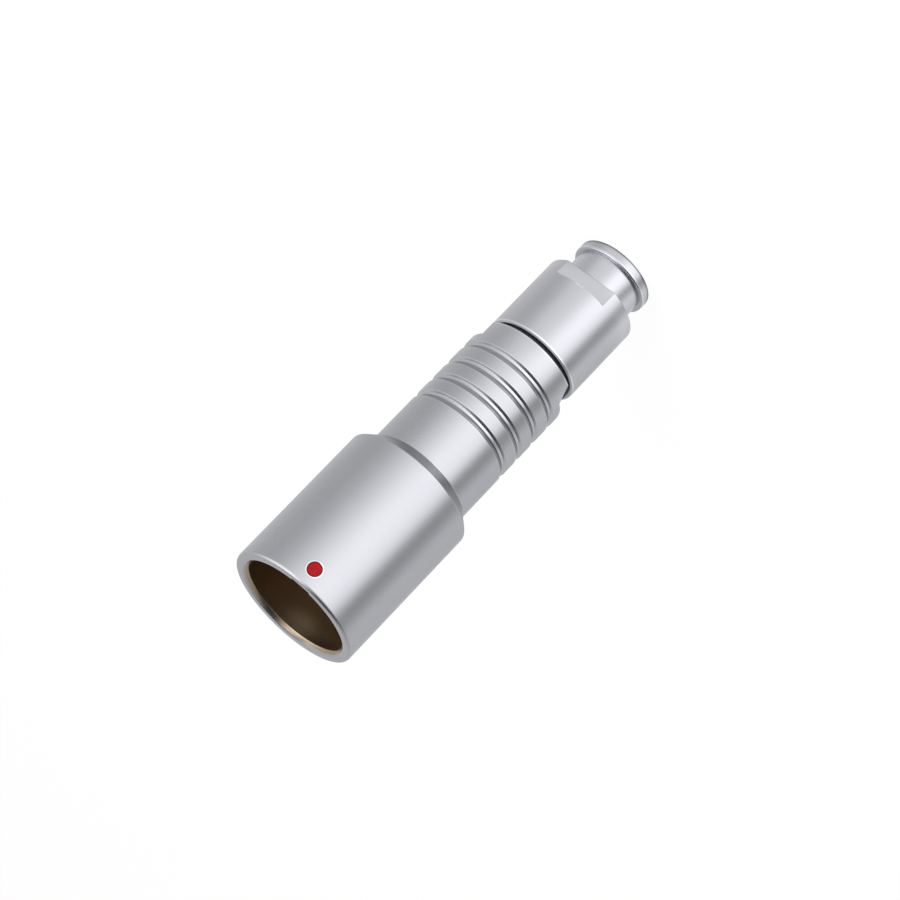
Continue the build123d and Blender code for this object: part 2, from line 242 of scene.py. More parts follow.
def innerMetal(slotName, spec):
    material, tree = newMaterial(slotName)
    place = millimetres(tree)
    clouds = addNode(tree, "ShaderNodeTexNoise", {
        "Scale": 1 / innerLook["cloudSize"], "Detail": innerLook["cloudDetail"],
    }, {"Vector": place})
    colour = addNode(tree, "ShaderNodeMix", {
        **colourMix, 6: linearColour(spec["hexes"][0]), 7: linearColour(spec["hexes"][1]),
    }, {0: clouds.outputs[0]})
    shine = addNode(tree, "ShaderNodeMapRange", {
        3: spec["roughness"] - innerLook["roughnessSpread"] / 2,
        4: spec["roughness"] + innerLook["roughnessSpread"] / 2,
    }, {0: clouds.outputs[0]})
    lay = addNode(tree, "ShaderNodeTexNoise", {
        "Scale": 1 / innerLook["laySize"], "Detail": innerLook["layDetail"],
    }, {"Vector": place})
    bump = addNode(tree, "ShaderNodeBump", {"Strength": 1, "Distance": innerLook["layDepth"] * mm},
                   {"Height": lay.outputs[0]})
    surface = addNode(tree, "ShaderNodeBsdfPrincipled", {"Metallic": 1}, {
        "Base Color": colour.outputs[2], "Roughness": shine.outputs[0], "Normal": bump.outputs[0],
    })
    finishMaterial(tree, surface)
    return material


def moulding(slotName, spec):
    material, tree = newMaterial(slotName)
    place = millimetres(tree)
    grain = addNode(tree, "ShaderNodeTexNoise", {
        "Scale": 1 / spec["grain"], "Detail": mouldedLook["grainDetail"],
    }, {"Vector": place})
    colour = addNode(tree, "ShaderNodeMix", {
        **colourMix, 6: linearColour(spec["hexes"][0]), 7: linearColour(spec["hexes"][1]),
    }, {0: grain.outputs[0]})
    # Painted shade: the dot's enamel is darkened towards its rim
    if "rim" in spec:
        fromDot = addNode(tree, "ShaderNodeVectorMath", {"operation": "DISTANCE", 1: dotMiddle}, {0: place})
        shadedRim = addNode(tree, "ShaderNodeMapRange", {1: spec["rim"]["inner"], 2: spec["rim"]["outer"]},
                       {0: fromDot.outputs["Value"]})
        colour = addNode(tree, "ShaderNodeMix", {**colourMix, 7: linearColour(spec["rim"]["hex"])},
                         {0: shadedRim.outputs[0], 6: colour.outputs[2]})
    bump = addNode(tree, "ShaderNodeBump", {"Strength": 1, "Distance": spec["depth"] * mm},
                   {"Height": grain.outputs[0]})
    surface = addNode(tree, "ShaderNodeBsdfPrincipled", {
        "Roughness": spec["roughness"], "IOR": mouldedLook["ior"], "Specular IOR Level": spec["gloss"],
    }, {"Base Color": colour.outputs[2], "Normal": bump.outputs[0]})
    finishMaterial(tree, surface)
    return material


finishes = {name: innerMetal(name, spec) for name, spec in innerMetals.items()}
finishes.update({name: moulding(name, spec) for name, spec in mouldings.items()})
finishes["satin_chrome"] = satinChrome("satin_chrome")
shellFinish = satinChrome("satin_chrome_bore", boreSpec)
print("materials made:", len(finishes) + 1)

# Modelling helpers. A corner is (radius, height, ease), where ease is the leg of its rounding.
easeSegments = 3
# How close points are that count as one, as touching a plane, as beside it, as on a rim and on a wall
weld, touch, beside, onRim, onWall = 1e-5, 1e-4, 1e-3, 0.01, 0.05
shading = {"sharpAngle": 32, "areaWeight": 80, "areaStep": 5e-9}


def turnedMesh(corners, steps):
    bm = bmesh.new()
    verts = [bm.verts.new((radius, 0, height)) for radius, height, ease in corners]
    for index, vert in enumerate(verts):
        bm.edges.new((vert, verts[(index + 1) % len(verts)]))
    for vert, (radius, height, ease) in zip(verts, corners):
        if ease:
            bmesh.ops.bevel(bm, geom=[vert], offset=ease, offset_type="OFFSET", segments=easeSegments,
                            profile=0.5, affect="VERTICES", material=-1)
    bmesh.ops.spin(bm, geom=bm.verts[:] + bm.edges[:], cent=(0, 0, 0), axis=(0, 0, 1), angle=2 * pi,
                   steps=steps, use_merge=True)
    bmesh.ops.remove_doubles(bm, verts=bm.verts[:], dist=weld)
    bmesh.ops.recalc_face_normals(bm, faces=bm.faces[:])
    return bm


def addPiece(bm, name, material):
    bmesh.ops.scale(bm, vec=(mm, mm, mm), verts=bm.verts[:])
    mesh = bpy.data.meshes.new(name)
    bm.to_mesh(mesh)
    bm.free()
    mesh.shade_smooth()
    mesh.materials.append(material)
    piece = bpy.data.objects.new(name, mesh)
    bpy.context.scene.collection.objects.link(piece)
    return piece


def finishPiece(bm, name, body, slotName, material, *nodes):
    piece = addPiece(bm, name, material)
    piece.data.set_sharp_from_angle(angle=radians(shading["sharpAngle"]))
    even = piece.modifiers.new("evenNormals", "WEIGHTED_NORMAL")  # keeps turned walls from shading as curved
    even.keep_sharp = True
    even.weight = shading["areaWeight"]
    even.thresh = shading["areaStep"]
    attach(piece, body)
    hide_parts(*nodes)
    return piece


# Each face gets a share of the plating's tone: shares below 1 are painted shade on turned corners, slopes and
# recesses, and shares above 1 are painted highlights on edges and strips. "tilt" is the span of the face
# normal's height.
level = (-0.1, 0.1)
flatShadeAndHighlight = {
    "floorBand": 0.2, "floorInset": 0.05, "floorTilt": (-0.2, 0.2), "floorShadowShare": 0.7,
    "edgeLow": 0.01, "edgeHigh": 0.14, "edgeTilt": (-0.9, -0.01), "edgeHighlightShare": 1.3,
}


def paintShadeAndHighlights(piece, rules):
    layer = piece.data.attributes.new("shade_and_highlight", "FLOAT", "FACE")
    shares = []
    for face in piece.data.polygons:
        middle = face.center / mm
        share = 1
        for rule in rules:
            if (rule["low"] < middle.z < rule["high"] and rule["inner"] < middle.xy.length < rule["outer"]
                    and rule["tilt"][0] < face.normal.z < rule["tilt"][1]):
                share = rule["share"]
        shares.append(share)
    layer.data.foreach_set("value", shares)


def shadeAndHighlightOfFlat(radius, flat):
    # Painted shadow on the floor of a flat against its step, and a painted highlight on the step's edge
    w, top = flatShadeAndHighlight, flat["top"]
    return [
        {"low": top - w["floorBand"], "high": top, "inner": 0, "outer": radius - w["floorInset"],
         "tilt": w["floorTilt"], "share": w["floorShadowShare"]},
        {"low": top + w["edgeLow"], "high": top + w["edgeHigh"], "inner": 0, "outer": radius,
         "tilt": w["edgeTilt"], "share": w["edgeHighlightShare"]},
    ]


# Rows of (rise, share of the depth given back), from a flat's floor to the untouched round
stepRings = [(-0.2, 0), (-0.08, 0), (-0.03, 0.02), (0, 0.08), (0.01, 0.93), (0.03, 0.985), (0.13, 1)]
# Faces that a flat is milled from lie beyond this share of its reach, and this far past its ends
millSpec = {"reachShare": 0.8, "below": 0.01, "above": 0.1}


def flatRings(radius, flat):
    return [(radius, flat["top"] + rise, 0) for rise, back in stepRings]


def millFlats(bm, radius, flat):
    # Two parallel flats: the mesh is cut along their borders, then what stands proud is pressed in
    reachAt = [(flat["low"], flat["reach"] - flat["ease"]), (flat["low"] + flat["ease"], flat["reach"])]
    reachAt += [(flat["top"] + rise, flat["reach"] + back * (radius - flat["reach"]))
                for rise, back in stepRings]
    lowest, highest = flat["low"] - millSpec["below"], flat["top"] + millSpec["above"]
    for turn in (flat["azimuth"], flat["azimuth"] + 180):
        normal = Vector((sin(radians(turn)), -cos(radians(turn)), 0))
        band = []
        for face in bm.faces:
            middle = face.calc_center_median()
            if middle.dot(normal) > flat["reach"] * millSpec["reachShare"] and lowest < middle.z < highest:
                band.append(face)
        parts = {part for face in band for part in (*face.verts, *face.edges)}
        bmesh.ops.bisect_plane(bm, geom=band + list(parts), dist=touch, plane_co=normal * flat["reach"],
                               plane_no=normal)
        for vert in bm.verts:
            proud = vert.co.dot(normal)
            for (lowZ, lowReach), (highZ, highReach) in zip(reachAt, reachAt[1:]):
                if lowZ - touch <= vert.co.z <= highZ + touch:
                    share = min(max((vert.co.z - lowZ) / (highZ - lowZ), 0), 1)
                    reach = lowReach + (highReach - lowReach) * share
                    if proud > reach:
                        vert.co -= normal * (proud - reach)
                        proud = reach


# Ends of turned lands: a small bevel, then a shallow strip rubbed by handling
endSpec = {"leg": 0.1, "rubLength": 0.22, "rubDepth": 0.04, "bevelEase": 0.03, "stripEase": 0.02}

# Outer shell: barrel, cone, grooved grip and mating bore, turned in one piece
shellSpec = {
    "steps": 256, "barrelRadius": 9.5, "bodyRadius": 7.6, "coneLow": barrelRear - 1.9,
    "boreRadius": 7.75, "boreFloor": mouth - 15.4, "lipLeg": 0.55,
    "mouthInset": 0.27, "mouthDrop": 0.5, "mouthSteps": 6,
    "grooves": 4, "groovePitch": 3.17, "grooveBelowBarrel": 9.45, "grooveDepth": 0.42,
    "grooveRear": 0.16, "grooveFloor": 0.38, "grooveFront": 0.78, "grooveHighlightBand": 0.11,
    "latchTop": mouth - 8.6, "latchWidth": 1.6, "latchDepth": 0.7, "webRadius": 4.75,
    "webLow": mouth - 18.4, "insertRadius": 5.3, "threadRadius": 5.5, "threadHigh": nutHigh.z + 0.8,
    "threadStep": 0.2, "slotHalfWidth": 1.4, "slotReach": 8.6, "rimMiddle": 8.88, "dotMargin": 0.55,
}
shellEases = {
    "thread": 0.1, "groove": 0.04, "grooveFront": 0.06, "coneLow": 0.12, "coneHigh": 0.14, "lip": 0.12,
    "web": 0.1, "inner": 0.05,
}
shellFlat = {"low": shellLow.z, "top": shellLow.z + 2.35, "reach": 6.4, "azimuth": 90, "ease": 0.12}


def grooveSpans(s):
    # Rear and front ends of the grip's grooves, from the rear one forwards
    width = s["grooveFront"] + s["grooveFloor"] + s["grooveRear"]
    highs = [barrelRear - s["grooveBelowBarrel"] - index * s["groovePitch"] for index in range(s["grooves"])]
    return [(high - width, high) for high in reversed(highs)]


# Painted shade on the long slopes of the grooves and on the cone, which face rearwards, and a painted
# highlight on the strip at the rear end
shellShadeAndHighlight = [
    {"low": shellLow.z + 2.6, "high": barrelRear - 9.4, "inner": 7.1, "outer": 7.7,
     "tilt": (-0.8, -0.3), "share": 0.52},
    {"low": barrelRear - 2, "high": barrelRear, "inner": 7.5, "outer": 9.6,
     "tilt": (-0.8, -0.4), "share": 0.5},
    {"low": shellLow.z + 0.08, "high": shellLow.z + 0.35, "inner": 7.4, "outer": 7.62,
     "tilt": (-0.5, -0.05), "share": 1.12},
    *shadeAndHighlightOfFlat(shellSpec["bodyRadius"], shellFlat),
]
for low, high in grooveSpans(shellSpec):
    # Painted highlights on a groove's floor, its steep wall, then the edges of the lands beside it
    shellShadeAndHighlight += [
        {"low": low, "high": high, "inner": 7.1, "outer": 7.25, "tilt": level, "share": 1.25},
        {"low": low, "high": high, "inner": 7.1, "outer": 7.7, "tilt": (0.3, 0.97), "share": 1.15},
    ]
    for edgeLow in (low - shellSpec["grooveHighlightBand"], high):
        shellShadeAndHighlight.append({"low": edgeLow, "high": edgeLow + shellSpec["grooveHighlightBand"], "inner": 7.58,
                          "outer": 7.62, "tilt": level, "share": 1.15})


def mouthRound(s):
    # The mouth's edge is turned as a quarter of an ellipse, longer down the barrel than across the rim
    turns = [pi / 2 * step / s["mouthSteps"] for step in range(s["mouthSteps"], -1, -1)]
    return [(s["barrelRadius"] - s["mouthInset"] * (1 - sin(turn)),
             mouth - s["mouthDrop"] * (1 - cos(turn)), 0) for turn in turns]


def shellCorners(s, eases):
    rubRadius = s["bodyRadius"] - endSpec["rubDepth"]
    grooveRadius = s["bodyRadius"] - s["grooveDepth"]
    latchRadius = s["boreRadius"] + s["latchDepth"]
    latchLow = s["latchTop"] - s["latchWidth"]
    corners = [
        (s["threadRadius"], shellLow.z, eases["thread"]),
        (rubRadius - endSpec["leg"], shellLow.z, endSpec["bevelEase"]),
        (rubRadius, shellLow.z + endSpec["leg"], 0),
        (s["bodyRadius"], shellLow.z + endSpec["leg"] + endSpec["rubLength"], endSpec["stripEase"]),
    ]
    corners += flatRings(s["bodyRadius"], shellFlat)
    for low, high in grooveSpans(s):
        corners += [
            (s["bodyRadius"], low - s["grooveHighlightBand"], 0), (s["bodyRadius"], low, eases["groove"]),
            (grooveRadius, low + s["grooveRear"], eases["groove"]),
            (grooveRadius, high - s["grooveFront"], eases["grooveFront"]),
            (s["bodyRadius"], high, eases["groove"]), (s["bodyRadius"], high + s["grooveHighlightBand"], 0),
        ]
    corners += [
        (s["bodyRadius"], s["coneLow"], eases["coneLow"]),
        (s["barrelRadius"], barrelRear, eases["coneHigh"]),
        (s["barrelRadius"], dotLow.z - s["dotMargin"], 0),
        (s["barrelRadius"], dotHigh.z + s["dotMargin"], 0),
        *mouthRound(s),
        (s["rimMiddle"], mouth, 0), (s["slotReach"], mouth, 0),
        (s["boreRadius"] + s["lipLeg"], mouth, eases["lip"]),
        (s["boreRadius"], mouth - s["lipLeg"], eases["lip"]),
        (s["boreRadius"], s["latchTop"], eases["inner"]), (latchRadius, s["latchTop"], eases["inner"]),
        (latchRadius, latchLow, eases["inner"]), (s["boreRadius"], latchLow, eases["inner"]),
        (s["boreRadius"], s["boreFloor"], 0), (s["webRadius"], s["boreFloor"], eases["web"]),
        (s["webRadius"], s["webLow"], eases["inner"]), (s["insertRadius"], s["webLow"], eases["inner"]),
        (s["insertRadius"], s["threadHigh"], eases["inner"]),
        (s["threadRadius"], s["threadHigh"] - s["threadStep"], eases["inner"]),
    ]
    return corners


def boreWall(face, s):
    middle = face.calc_center_median()
    return (middle.y < 0 and abs(middle.x) < 3 * s["slotHalfWidth"] and middle.z > s["boreFloor"] + beside
            and s["boreRadius"] - onWall < middle.xy.length < s["slotReach"])


def cutKeySlot(bm, s):
    # The bore's wall is cut away between two planes and closed again round a deeper floor
    half = s["slotHalfWidth"]
    floor = s["boreFloor"]
    for side in (-1, 1):
        wall = [f for f in bm.faces if boreWall(f, s)]
        parts = {part for f in wall for part in (*f.verts, *f.edges)}
        bmesh.ops.bisect_plane(bm, geom=wall + list(parts), dist=touch, plane_co=(side * half, 0, 0),
                               plane_no=(1, 0, 0))
    gone = [f for f in bm.faces if boreWall(f, s) and abs(f.calc_center_median().x) < half]
    bmesh.ops.delete(bm, geom=gone, context="FACES")
    rim = [e for e in bm.edges if e.is_boundary and all(
        abs(v.co.z - mouth) < touch and v.co.xy.length > s["slotReach"] - onRim for v in e.verts)]
    for vert in {v for e in rim for v in e.verts}:
        vert.co.y = -s["slotReach"]
    grown = bmesh.ops.extrude_edge_only(bm, edges=rim)["geom"]
    backVerts = [g for g in grown if isinstance(g, bmesh.types.BMVert)]
    for vert in backVerts:
        vert.co.z = floor
    floorEdge = [v for v in bm.verts if v.is_boundary and abs(v.co.z - floor) < touch and v not in backVerts]
    for side in (-1, 1):
        outer = max(backVerts, key=lambda v: side * v.co.x)
        inner = max(floorEdge, key=lambda v: side * v.co.x)
        bm.edges.new((outer, inner))
    edges = [e for e in bm.edges if len(e.link_faces) < 2]
    loops = [
        [e for e in edges if all(abs(v.co.z - floor) < touch for v in e.verts)],
        [e for e in edges if all(v.co.x > half - beside for v in e.verts)],
        [e for e in edges if all(v.co.x < beside - half for v in e.verts)],
    ]
    for loop in loops:
        bmesh.ops.edgeloop_fill(bm, edges=loop)
    bmesh.ops.recalc_face_normals(bm, faces=bm.faces[:])


# Alignment dot: filled enamel, a little below the barrel, with its edge drawn up the pocket's wall
dotSpec = {
    "radius": 1.0, "segments": 64, "rings": 6, "sink": 0.05, "edgeLift": 0.02, "edgePower": 4,
    "depth": 0.29, "pocketRadius": 1.02, "pocketSegments": 72, "pocketDepth": 0.34, "flare": 0.05,
    "lidFacing": 0.9,
}


def cutDotPocket(shell, d):
    cutter = bmesh.new()
    bmesh.ops.create_cone(cutter, cap_ends=True, segments=d["pocketSegments"], radius1=d["pocketRadius"],
                          radius2=d["pocketRadius"], depth=2 * d["pocketDepth"])
    top = [f for f in cutter.faces if f.normal.z > d["lidFacing"]]
    for vert in (v for v in cutter.verts if v.co.z > 0):
        vert.co.z = -d["flare"]
    raised = bmesh.ops.extrude_face_region(cutter, geom=top)["geom"]
    for vert in (g for g in raised if isinstance(g, bmesh.types.BMVert)):
        vert.co.z = d["flare"]
        vert.co.xy *= (d["pocketRadius"] + 2 * d["flare"]) / d["pocketRadius"]
    bmesh.ops.delete(cutter, geom=top, context="FACES")
    bmesh.ops.rotate(cutter, verts=cutter.verts[:], cent=(0, 0, 0), matrix=Matrix.Rotation(pi / 2, 3, "X"))
    bmesh.ops.translate(cutter, verts=cutter.verts[:], vec=(0, -shellSpec["barrelRadius"], dotHeight))
    bmesh.ops.scale(cutter, vec=(mm, mm, mm), verts=cutter.verts[:])
    bmesh.ops.recalc_face_normals(cutter, faces=cutter.faces[:])
    mesh = bpy.data.meshes.new("pocketCutter")
    cutter.to_mesh(mesh)
    cutter.free()
    tool = bpy.data.objects.new("pocketCutter", mesh)
    bpy.context.scene.collection.objects.link(tool)
    cut = shell.modifiers.new("pocket", "BOOLEAN")
    cut.object = tool
    cut.solver = "EXACT"
    shell.modifiers.move(1, 0)
    with bpy.context.temp_override(object=shell, active_object=shell):
        bpy.ops.object.modifier_apply(modifier="pocket")
    bpy.data.objects.remove(tool)


def buildDot(d):
    bm = bmesh.new()
    bmesh.ops.create_circle(bm, cap_ends=True, segments=d["segments"], radius=d["radius"])
    for ring in range(d["rings"]):
        middle = [f for f in bm.faces if len(f.verts) > 4]
        bmesh.ops.inset_region(bm, faces=middle, thickness=d["radius"] / (d["rings"] + 1),
                               use_even_offset=True)
    bmesh.ops.poke(bm, faces=[f for f in bm.faces if len(f.verts) > 4])
    base = bm.faces[:]
    raised = bmesh.ops.extrude_face_region(bm, geom=base)["geom"]
    bmesh.ops.delete(bm, geom=base, context="FACES_ONLY")
    top = [g for g in raised if isinstance(g, bmesh.types.BMVert)]
    for vert in bm.verts:
        share = vert.co.xy.length / d["radius"]
        lift = d["edgeLift"] * share ** d["edgePower"] if vert in top else -d["depth"]
        radius = shellSpec["barrelRadius"] - d["sink"] + lift
        x, z = vert.co.x, vert.co.y
        vert.co = (x, -sqrt(radius ** 2 - x ** 2), dotHeight + z)
    bmesh.ops.recalc_face_normals(bm, faces=bm.faces[:])
    return finishPiece(bm, "enamelDot", "shell", "red_enamel", finishes["red_enamel"], "alignment_dot")


shellMesh = turnedMesh(shellCorners(shellSpec, shellEases), shellSpec["steps"])
millFlats(shellMesh, shellSpec["bodyRadius"], shellFlat)
cutKeySlot(shellMesh, shellSpec)
shell = finishPiece(shellMesh, "shell", "shell", "satin_chrome", shellFinish, "outer_shell")
cutDotPocket(shell, dotSpec)
paintShadeAndHighlights(shell, shellShadeAndHighlight)
buildDot(dotSpec)
print("shell made:", len(shell.data.polygons), "faces")

# Collet nut: flange, neck, nut and threaded nose in one piece
nutSpec = {
    "steps": 256, "flangeRadius": 5.7, "flangeHigh": 1.7, "flangeHighlightBand": 0.12, "reliefRadius": 5.0,
    "neckRadius": 5.05, "neckLow": 1.74, "neckHighlightBand": 0.15, "nutRadius": 6.95, "nutRear": 5.55,
    "nutFront": 17.9, "frontLeg": 0.18, "entryRadius": 3.8, "entryLeg": 0.4, "chamberRadius": 4.3,
    "chamberLow": 6.4, "coneLow": 11.6, "coneHigh": 13.6, "noseBoreRadius": 4.65, "noseLeg": 0.15,
    "shoulderRadius": 5.42, "shoulderHigh": 18.75, "shoulderLeg": 0.25, "rootRadius": 5.02,
}
nutEases = {
    "entryRear": 0.06, "flangeRear": 0.4, "flangeFront": 0.3, "neckLow": 0.03, "neckHigh": 0.1,
    "nutRear": 0.15, "front": 0.05, "shoulder": 0.08, "root": 0.06, "noseBore": 0.06,
    "chamber": 0.05, "entry": 0.08,
}
nutFlat = {"low": 5.55, "top": 8.15, "reach": 5.75, "azimuth": 10.2, "ease": 0.12}
threadSpec = {
    "pitch": 0.75, "crestRadius": 5.43, "baseRadius": 4.97, "crestHalf": 0.05, "baseHalf": 0.33,
    "low": 19.1, "high": 25.7, "stepsPerTurn": 96, "fade": 0.45,
}


# Painted highlight on the strip at the nut's front end, painted shade on the flange's land, and painted
# highlights on its front edge and on the strip on the neck
nutShadeAndHighlight = [
    {"low": 17.4, "high": 17.75, "inner": 6.85, "outer": 6.96, "tilt": (0.05, 0.5), "share": 1.5},
    {"low": 0.35, "high": 1.3, "inner": 5.55, "outer": 5.71, "tilt": level, "share": 0.95},
    {"low": 1.26, "high": 1.55, "inner": 5.55, "outer": 5.71, "tilt": (-0.1, 0.5), "share": 1.2},
    {"low": 1.75, "high": 1.9, "inner": 5, "outer": 5.06, "tilt": level, "share": 1.2},
    *shadeAndHighlightOfFlat(nutSpec["nutRadius"], nutFlat),
]


def nutCorners(n, eases):
    rubRadius = n["nutRadius"] - endSpec["rubDepth"]
    rubHigh = n["nutFront"] - n["frontLeg"]
    return [
        (n["entryRadius"] + n["entryLeg"], 0, eases["entryRear"]),
        (n["flangeRadius"], 0, eases["flangeRear"]),
        (n["flangeRadius"], n["flangeHigh"] - eases["flangeFront"] - n["flangeHighlightBand"], 0),
        (n["flangeRadius"], n["flangeHigh"], eases["flangeFront"]), (n["reliefRadius"], n["flangeHigh"], 0),
        (n["neckRadius"], n["neckLow"], eases["neckLow"]), (n["neckRadius"], n["neckLow"] + n["neckHighlightBand"], 0),
        (n["neckRadius"], n["nutRear"], eases["neckHigh"]), (n["nutRadius"], n["nutRear"], eases["nutRear"]),
        *flatRings(n["nutRadius"], nutFlat),
        (n["nutRadius"], rubHigh - endSpec["rubLength"], endSpec["stripEase"]),
        (rubRadius, rubHigh, 0), (rubRadius - n["frontLeg"], n["nutFront"], endSpec["bevelEase"]),
        (n["shoulderRadius"], n["nutFront"], eases["front"]),
        (n["shoulderRadius"], n["shoulderHigh"], eases["shoulder"]),
        (n["rootRadius"], n["shoulderHigh"] + n["shoulderLeg"], eases["root"]),
        (n["rootRadius"], nutHigh.z - n["noseLeg"], 0), (n["rootRadius"] - n["noseLeg"], nutHigh.z, 0),
        (n["noseBoreRadius"], nutHigh.z, eases["noseBore"]), (n["noseBoreRadius"], n["coneHigh"], 0),
        (n["chamberRadius"], n["coneLow"], 0), (n["chamberRadius"], n["chamberLow"], 0),
        (n["entryRadius"], n["chamberLow"], eases["chamber"]),
        (n["entryRadius"], n["entryLeg"], eases["entry"]),
    ]


def addThread(bm, t):
    # One ridge swept up a helix, its root under the nose's surface and its ends faded out
    before = set(bm.verts)
    ridge = [(t["baseRadius"], -t["baseHalf"]), (t["crestRadius"], -t["crestHalf"]),
             (t["crestRadius"], t["crestHalf"]), (t["baseRadius"], t["baseHalf"])]
    verts = [bm.verts.new((radius, 0, t["low"] + height)) for radius, height in ridge]
    edges = [bm.edges.new((verts[i], verts[(i + 1) % len(verts)])) for i in range(len(verts))]
    bm.faces.new(verts)
    turns = (t["high"] - t["low"]) / t["pitch"]
    steps = int(turns * t["stepsPerTurn"])
    swept = bmesh.ops.spin(bm, geom=verts + edges, cent=(0, 0, 0), axis=(0, 0, 1), angle=2 * pi * turns,
                           dvec=(0, 0, t["pitch"] * turns / steps), steps=steps)
    lastEdges = [g for g in swept["geom_last"] if isinstance(g, bmesh.types.BMEdge)]
    bmesh.ops.contextual_create(bm, geom=lastEdges)
    for vert in (v for v in bm.verts if v not in before):
        fromEnd = min(vert.co.z - t["low"], t["high"] - vert.co.z) + t["baseHalf"]
        share = max(min(fromEnd / t["fade"], 1), 0)
        radius = vert.co.xy.length
        vert.co.xy *= (t["baseRadius"] + (radius - t["baseRadius"]) * share) / radius
    bmesh.ops.recalc_face_normals(bm, faces=bm.faces[:])


nutMesh = turnedMesh(nutCorners(nutSpec, nutEases), nutSpec["steps"])
millFlats(nutMesh, nutSpec["nutRadius"], nutFlat)
addThread(nutMesh, threadSpec)
nut = finishPiece(nutMesh, "colletNut", "nut", "satin_chrome", finishes["satin_chrome"], "collet_nut")
paintShadeAndHighlights(nut, nutShadeAndHighlight)
print("nut made:", len(nut.data.polygons), "faces")

# Nut seal: black rubber ring seated on the nut's front face
sealSpec = {"innerRadius": 5.5, "steps": 160, "rearEases": (0.05, 0.12), "frontEases": (0.22, 0.15)}
sealMesh = turnedMesh([
    (sealSpec["innerRadius"], sealLow.z, sealSpec["rearEases"][0]),
    (sealHigh.x, sealLow.z, sealSpec["rearEases"][1]),
    (sealHigh.x, sealHigh.z, sealSpec["frontEases"][0]),
    (sealSpec["innerRadius"], sealHigh.z, sealSpec["frontEases"][1]),
], sealSpec["steps"])
finishPiece(sealMesh, "sealRing", "nut", "black_rubber", finishes["black_rubber"], "nut_seal")

# Inner pieces whose CAD form is right keep it and take their finish here
slotOf = {part["node"]: part["material_slot"] for part in frame["record"]["subparts"]}
for name, node in frame["nodes"].items():
    if slotOf[name] != "satin_chrome":
        node.data.materials.clear()
        node.data.materials.append(finishes[slotOf[name]])
print("inner pieces finished")

# Studio: white floor and surroundings. A paper tent, seen only in reflections, holds the soft boxes and
# darker cards that give the metal its bands. Azimuths are from the camera's side, positive to the right.
cameraSpec = {
    "azimuth": -8.4, "elevation": 22.0, "distance": 0.449, "roll": 136.15, "lens": 140.0,
    "aimHeight": 37.1, "aimPixel": (435.65, 459.6), "imageSize": 900, "focalPixels": 3500,
    "clipStart": 0.01,
}
# Rows of (azimuth, tone) round the tent: on its floor close to the part, near it and far, and above
closeTones = [
    (-180, 0.5), (-147, 0.48), (-98, 0.66), (-90, 0.58), (-80, 0.44), (-72, 0.36), (-64, 0.34), (-55, 0.58),
    (-46, 0.9), (-30, 1.1), (-13, 1.08), (0, 0.88), (13, 0.72), (27, 0.66), (46, 0.64), (60, 0.58),
    (73, 0.48), (92, 0.42), (114, 0.46), (147, 0.5), (180, 0.5),
]
nearTones = [
    (-180, 0.44), (-147, 0.39), (-114, 0.48), (-98, 0.53), (-90, 0.48), (-80, 0.34), (-72, 0.27),
    (-66, 0.23), (-57, 0.43), (-48, 0.82), (-30, 1.04), (-13, 1.04), (0, 0.85), (13, 0.69), (27, 0.65),
    (46, 0.6), (57, 0.49), (73, 0.41), (92, 0.4), (114, 0.46), (147, 0.48), (180, 0.44),
]
farTones = [
    (-180, 0.42), (-147, 0.38), (-114, 0.44), (-96, 0.45), (-80, 0.3), (-66, 0.21), (-57, 0.36), (-48, 0.7),
    (-40, 0.85), (-28, 0.92), (-8, 0.97), (10, 0.86), (30, 0.66), (42, 0.56), (60, 0.41), (85, 0.34),
    (110, 0.37), (145, 0.43), (180, 0.42),
]
upperTones = [
    (-180, 0.39), (-130, 0.37), (-95, 0.30), (-70, 0.06), (-40, 0.02), (-20, 0.04), (0, 0.18), (18, 0.7),
    (35, 1.1), (65, 1.06), (88, 0.82), (110, 0.5), (140, 0.4), (180, 0.39),
]
tentSpec = {
    "strength": 1.6, "coolness": 1.02, "blendLow": 2.0, "blendHigh": 26.0, "axisReach": 2.6,
    # Where the outer zones of the floor start and are full, outwards from the axis
    "zones": ((18, 26, nearTones), (45, 60, farTones)),
    # The tent's floor has a painted shadow where the flange stands on it
    "shadeInner": 5.75, "shadeOuter": 6.3, "shadeTone": 0.3,
    # A dark card hangs overhead and behind. Rows of (azimuth, start, end): where each side begins to
    # clear and is clear, outwards from the axis, and the same downwards for its low edge
    "cardSides": ((135, 184, 283), (-90, 180, 260), (0, 60, 160)), "cardLow": (470, 370), "cardTone": 0.16,
    # Section of the tent, as (radius, height): flat on the floor, a wall that leans in and a roof
    "section": ((5.5, 0.03), (300, 0.3), (430, 60), (500, 200), (480, 420), (375, 620), (0, 680)),
    "steps": 96,
}


def toneRamp(tree, tones, factor):
    ramp = addNode(tree, "ShaderNodeValToRGB", links={0: factor})
    elements = ramp.color_ramp.elements
    while len(elements) < len(tones):
        elements.new(0.5)
    for element, (azimuth, tone) in zip(elements, tones):
        element.position = azimuth / 360 + 0.5
    for element, (azimuth, tone) in zip(elements, tones):
        element.color = (tone, tone, tone * tentSpec["coolness"], 1)
    return ramp.outputs["Color"]


def direction(azimuth, elevation):
    a, e = radians(cameraSpec["azimuth"] + azimuth), radians(elevation)
    return Vector((sin(a) * cos(e), -cos(a) * cos(e), sin(e)))


